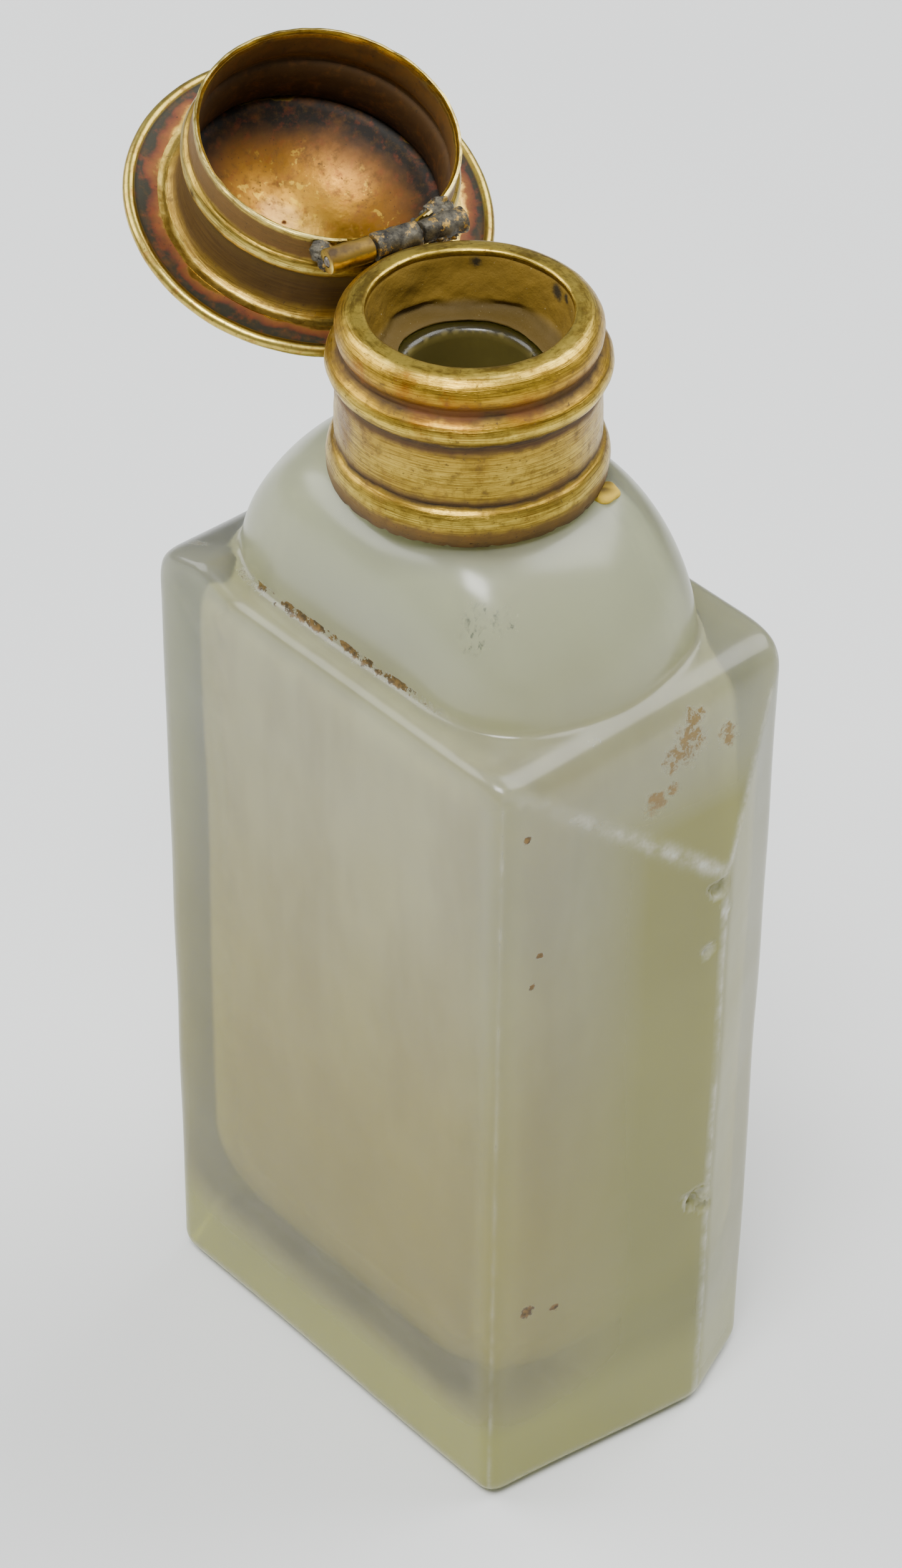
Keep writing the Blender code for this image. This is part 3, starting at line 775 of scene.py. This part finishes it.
def make_cement():
    line = smooth_line([(NECK + 0.3, 103.7), (10.05, 103.7), (10.1, 109), (10.05, 114.7), (9.5, 116.1),
                        (8.95, 116.5), (8.72, 116.3), (8.62, 115.0), (8.5, 113.6), (8.3, 112.4),
                        (8.0, 111.85), (7.5, 111.65), (7.0, 111.55), (6.75, 111.38), (6.85, 111.2),
                        (7.6, 111.14), (8.7, 111.14), (8.95, 110), (NECK + 0.3, 106)], 0.2)
    points, faces, _ = turned(line)
    radius, height = np.hypot(points[:, 0], points[:, 1]), points[:, 2]
    shown = np.clip((height - 111.15) / 0.3, 0, 1) * (radius < 9.2) * np.clip((116.4 - height) / 1.5, 0, 1)
    uneven = 0.10 + 0.10 * wander(points, 4.5, 21) + 0.03 * wander(points, 1.1, 22)
    ledge = np.clip((112.6 - height) / 0.5, 0, 1) * 0.45 * wander(points, 6.0, 24)
    points[:, :2] -= outward(points) * (shown * (uneven + ledge))[:, None]
    cement = cement_look()
    add_piece("mouth_cement", points, faces, [cement], "bottle", ["neck_cement"])
    points, faces = skin(crumb_field, (8.6, 4.2, 99.2), (12.6, 8.4, 102.2), 0.12)
    add_piece("cement_crumb", points, faces, [cement], "bottle", [])


# ---------------------------------------------------------------- lid

def ring_line():
    """The ring's outer surface, from the brim down to the rim."""
    line = [(13.6, BRIM_HEIGHT - 0.03), (12.9, 9.5), (12.3, 9.05), (11.95, 8.2), (11.75, 7.0), (11.68, 5.6)]
    line += arc((RING - 0.1, 3.9), (0.72, 0.95), 74, -74, 8)
    line += [(RING, 2.5), (RING, 1.2), (RING + 0.02, 0.2), (RING - 0.05, 0.04), (RING - 0.25, 0.0)]
    return smooth_line(line)


def ring_dent_shade(look, colour):
    # A dark mark on the bead: painted shade of a dent.
    mark = look.times(look.spot(0.6, -12.3, 3.9, 0.5, 0.6, 61.0), 0.85)
    return look.mix(mark, colour, linear(80, 58, 26))


def make_ring():
    outline = sheet_outline(ring_line(), SHEET)
    points, faces, rows = turned(outline)
    dents = 0.03 * wander(points, 7, 31) + 0.012 * wander(points, 1.5, 32)
    points[:, :2] += outward(points) * dents[:, None]
    points[:, 2] += 0.05 * wander(points, 2.0, 33) * (points[:, 2] < 0.3)
    from_hinge = points[:, 0] + HINGE_REACH
    scallop = np.sqrt(np.maximum(RING_CLEARANCE ** 2 - from_hinge ** 2, 0))
    points[:, 2] = np.maximum(np.maximum(points[:, 2], scallop), 0)
    inner_rows = (rows >= len(outline) // 2) & (rows < len(outline) - 1)

    outside = brass_look("lid_ring_brass", "height", RING_STOPS, 13.0, ((2.5, (120, 84, 36), 0.4),),
                         spots=0.35, brushed=(0.2, 0.2, 6.0), extra=ring_dent_shade, place=LID_AXIS_PLACE)
    inside = brass_look("lid_ring_inside", "height", RING_INSIDE_STOPS, 17.0,
                        ((2.0, (60, 36, 18), 0.6), (1.2, (150, 92, 40), 0.35)), spots=0.5, shiny=0.36,
                        place=LID_AXIS_PLACE)
    add_piece("brass_lid_ring", points, faces, [outside, inside], "lid", ["lid_ring"],
              np.where(inner_rows, 1, 0), LID_AXIS_PLACE)


def cover_lines():
    """The cover's outline in five lines: dome, brim, rolled edge, underside of the brim, hollow."""
    curve = (LID_DOME ** 2 + LID_DOME_RISE ** 2) / (2 * LID_DOME_RISE)
    radii = np.linspace(0, LID_DOME, 40)
    rise = LID_DOME_RISE - curve + np.sqrt(curve ** 2 - radii ** 2)
    hollow = np.stack([radii, BRIM_HEIGHT + LID_DOME_STEP + rise], 1)
    sheet_top = BRIM_HEIGHT + SHEET
    brim_top = smooth_line([(11.7, sheet_top + 0.12), (12.4, sheet_top + 0.02), (14.0, sheet_top),
                            (15.45, sheet_top + 0.05)], 0.25)
    roll = arc((BRIM_RADIUS - BRIM_ROLL, BRIM_HEIGHT + 0.3), (BRIM_ROLL, BRIM_ROLL), 140, -140, 16)
    brim_under = smooth_line([(15.35, BRIM_HEIGHT - 0.02), (14.4, BRIM_HEIGHT + 0.03), (13.2, BRIM_HEIGHT),
                              (11.8, BRIM_HEIGHT)], 0.2)
    return hollow + (0, SHEET), brim_top, roll, brim_under, hollow[::-1]


def lid_ageing_and_highlight(look, colour):
    """Yellow flecks and a pinkish-white painted highlight in the hollow, with one dark speck."""
    yellow = look.fade(look.noise(1.1, 3, 0.6, 72.0), 0.58, 0.66, 0.0, 0.8)
    yellow = look.times(yellow, look.across(look.radius, 9.0, 7.0))
    colour = look.mix(yellow, colour, linear(222, 176, 66))
    # A pinkish-white patch: a painted highlight.
    painted_highlight = look.times(look.spot(2.2, -1.5, 13.6, 2.6, 0.6, 73.0), 0.35)
    colour = look.mix(painted_highlight, colour, linear(232, 180, 140))
    return look.mix(look.spot(1.6, -1.0, 13.9, 0.35, 0.5, 74.0), colour, linear(70, 40, 24))


def make_cover():
    lines = cover_lines()
    points, faces, rows = turned(np.vstack(lines), closed=False)
    flat = points * (1, 1, 0)
    edge = np.clip(np.hypot(points[:, 0], points[:, 1]) / BRIM_RADIUS, 0, 1) ** 4
    points[:, 2] += 0.05 * edge * wander(flat, 13, 41) + 0.02 * wander(flat, 3.5, 42)
    # The inside's look starts part way round the rolled edge
    below = len(lines[0]) + len(lines[1]) + 7

    inside = brass_look("lid_inside_brass", "radius", LID_INSIDE_STOPS, 23.0,
                        ((3.0, (120, 72, 24), 0.6), (1.0, (150, 66, 34), 0.45)), spots=0.35, shiny=0.24,
                        extra=lid_ageing_and_highlight, place=LID_AXIS_PLACE)
    outside = brass_look("lid_top_brass", "radius", LID_TOP_STOPS, 29.0,
                         ((3.5, (130, 94, 44), 0.5), (1.2, (84, 62, 32), 0.35)), place=LID_AXIS_PLACE)
    add_piece("brass_lid_cover", points, faces, [inside, outside], "lid", ["lid_cover"],
              np.where(rows >= below, 0, 1), LID_AXIS_PLACE)


# ---------------------------------------------------------------- hinge

def along_pin(points):
    """Turn points made about Z so that they lie along the pin."""
    return points[:, [0, 2, 1]] * (1, 1, -1)


def make_knuckle(name, start, end, seed, look, body, place, node, lumpy=0.03):
    """A rolled sheet barrel with softened ends."""
    soft = 0.12
    rounded = KNUCKLE - soft * 0.3
    outline = [(KNUCKLE_BORE, start), (KNUCKLE - soft, start), (rounded, start + soft * 0.3)]
    outline += [(KNUCKLE, start + soft + (end - start - 2 * soft) * step / 14) for step in range(15)]
    outline += [(rounded, end - soft * 0.3), (KNUCKLE - soft, end), (KNUCKLE_BORE, end)]
    points, faces, _ = turned(outline, turns=48)
    outer = np.hypot(points[:, 0], points[:, 1]) > 1
    points[:, :2] += outward(points) * np.where(outer, lumpy * wander(points, 1.8, seed), 0)[:, None]
    add_piece(name, along_pin(points), faces, [look], body, [node], place=place)


def make_pin(place):
    half, soft = HINGE_HALF + 0.1, 0.12
    outline = [(0, -half), (PIN * 0.7, -half), (PIN, soft - half), (PIN, half - soft), (PIN * 0.7, half),
               (0, half)]
    points, faces, _ = turned(outline, closed=False, turns=32)
    add_piece("steel_pin", along_pin(points), faces[:, ::-1], [steel_look()], "bottle", ["hinge_pin"],
              place=place)


def lump_field(parts, seed, roughness=0.12):
    """Solder: balls run together, (centre, reach in each direction)."""
    def field(points):
        whole = None
        for centre, reach in parts:
            away = (np.sqrt((((points - centre) / reach) ** 2).sum(1)) - 1) * min(reach)
            whole = away if whole is None else soft_min(whole, away, 0.5)
        return whole + roughness * wander(points, 1.1, seed) + 0.04 * wander(points, 0.4, seed + 1)
    return field


def make_solder(name, body, place, node, parts, number):
    low = np.min([np.array(centre) - reach for centre, reach in parts], 0) - 0.5
    high = np.max([np.array(centre) + reach for centre, reach in parts], 0) + 0.5
    points, faces = skin(lump_field(parts, 60 + 2 * number), low, high, 0.12, evening=1)
    solder = solder_look(f"grey_{name}", 43.0 + number, place)
    add_piece(name, points, faces, [solder], body, [node], place=place, sharp=0)


def make_hinge():
    closed = hinge_place()
    brass = brass_look("knuckle_brass", "height", KNUCKLE_STOPS, 37.0, ((1.2, (100, 70, 30), 0.35),),
                       spots=0.6, place=LID_PLACE)
    rear = solder_look("rear_knuckle_solder", 47.0, LID_PLACE)
    middle = solder_look("middle_knuckle_solder", 48.0, closed)
    lid_start = MIDDLE_HALF + KNUCKLE_GAP
    make_knuckle("front_knuckle", -HINGE_HALF, -lid_start, 51, brass, "lid", LID_PLACE, "lid_knuckle_front")
    make_knuckle("rear_knuckle", lid_start, HINGE_HALF, 52, rear, "lid", LID_PLACE, "lid_knuckle_rear", 0.10)
    make_knuckle("middle_knuckle", -MIDDLE_HALF, MIDDLE_HALF, 53, middle, "bottle", closed, "collar_knuckle",
                 0.08)
    make_pin(closed)

    front = [((1.1, -4.6, 1.3), (1.0, 1.9, 0.9)), ((1.9, -6.0, 1.1), (1.0, 1.1, 1.0)),
             ((0.5, -6.0, 1.0), (0.9, 0.9, 0.7))]
    rear = [((1.2, 4.5, 1.2), (1.2, 2.0, 1.0)), ((2.2, 5.6, 1.1), (1.2, 1.4, 1.3)),
            ((0.1, 4.6, 0.4), (1.25, 2.0, 1.1))]
    under = [((-0.1, 0, -1.5), (0.9, 1.9, 0.8)), ((0.7, 0.1, -1.9), (0.9, 1.7, 0.8))]
    make_solder("front_solder", "lid", LID_PLACE, "lid_solder_front", front, 0)
    make_solder("rear_solder", "lid", LID_PLACE, "lid_solder_rear", rear, 1)
    make_solder("collar_lump", "bottle", closed, "collar_solder", under, 2)


# ---------------------------------------------------------------- stage

def make_floor():
    look = Look("pale_floor")
    cloud = look.noise(60, 4, 0.5, 2.0)
    look.set(Base_Color=look.mix(cloud, linear(222, 224, 224), linear(230, 231, 230)), Roughness=0.7)
    mesh = bpy.data.meshes.new("floor")
    corners = [(x * FLOOR_HALF, y * FLOOR_HALF, 0) for x, y in ((-1, -1), (1, -1), (1, 1), (-1, 1))]
    mesh.from_pydata(corners, [], [(0, 1, 2, 3)])
    mesh.materials.append(look.material)
    floor = bpy.data.objects.new("floor", mesh)
    bpy.context.scene.collection.objects.link(floor)


def make_lights():
    world = bpy.data.worlds.new("studio")
    world.use_nodes = True
    world.node_tree.nodes["Background"].inputs["Color"].default_value = SKY_COLOUR
    world.node_tree.nodes["Background"].inputs["Strength"].default_value = SKY_STRENGTH
    bpy.context.scene.world = world
    for name, place, size, power in LIGHTS:
        light = bpy.data.lights.new(name, "AREA")
        light.size = size
        light.energy = power
        lamp = bpy.data.objects.new(name, light)
        lamp.location = place
        lamp.rotation_euler = (LIGHT_TARGET - Vector(place)).to_track_quat("-Z", "Y").to_euler()
        bpy.context.scene.collection.objects.link(lamp)


def make_camera():
    level = math.cos(CAMERA_ELEVATION)
    away = Vector((math.sin(CAMERA_AZIMUTH) * level, -math.cos(CAMERA_AZIMUTH) * level,
                   math.sin(CAMERA_ELEVATION)))
    camera = bpy.data.objects.new("camera", bpy.data.cameras.new("camera"))
    camera.data.lens = CAMERA_LENS
    camera.data.sensor_width = 36
    facing = (-away).to_track_quat("-Z", "Y").to_matrix().to_4x4() @ Matrix.Rotation(CAMERA_ROLL, 4, "Z")
    camera.matrix_world = Matrix.Translation(CAMERA_TARGET + away * CAMERA_DISTANCE) @ facing
    bpy.context.scene.collection.objects.link(camera)
    bpy.context.scene.camera = camera


make_glass()
make_collar()
make_cement()
make_ring()
make_cover()
make_hinge()
make_floor()
make_lights()
make_camera()
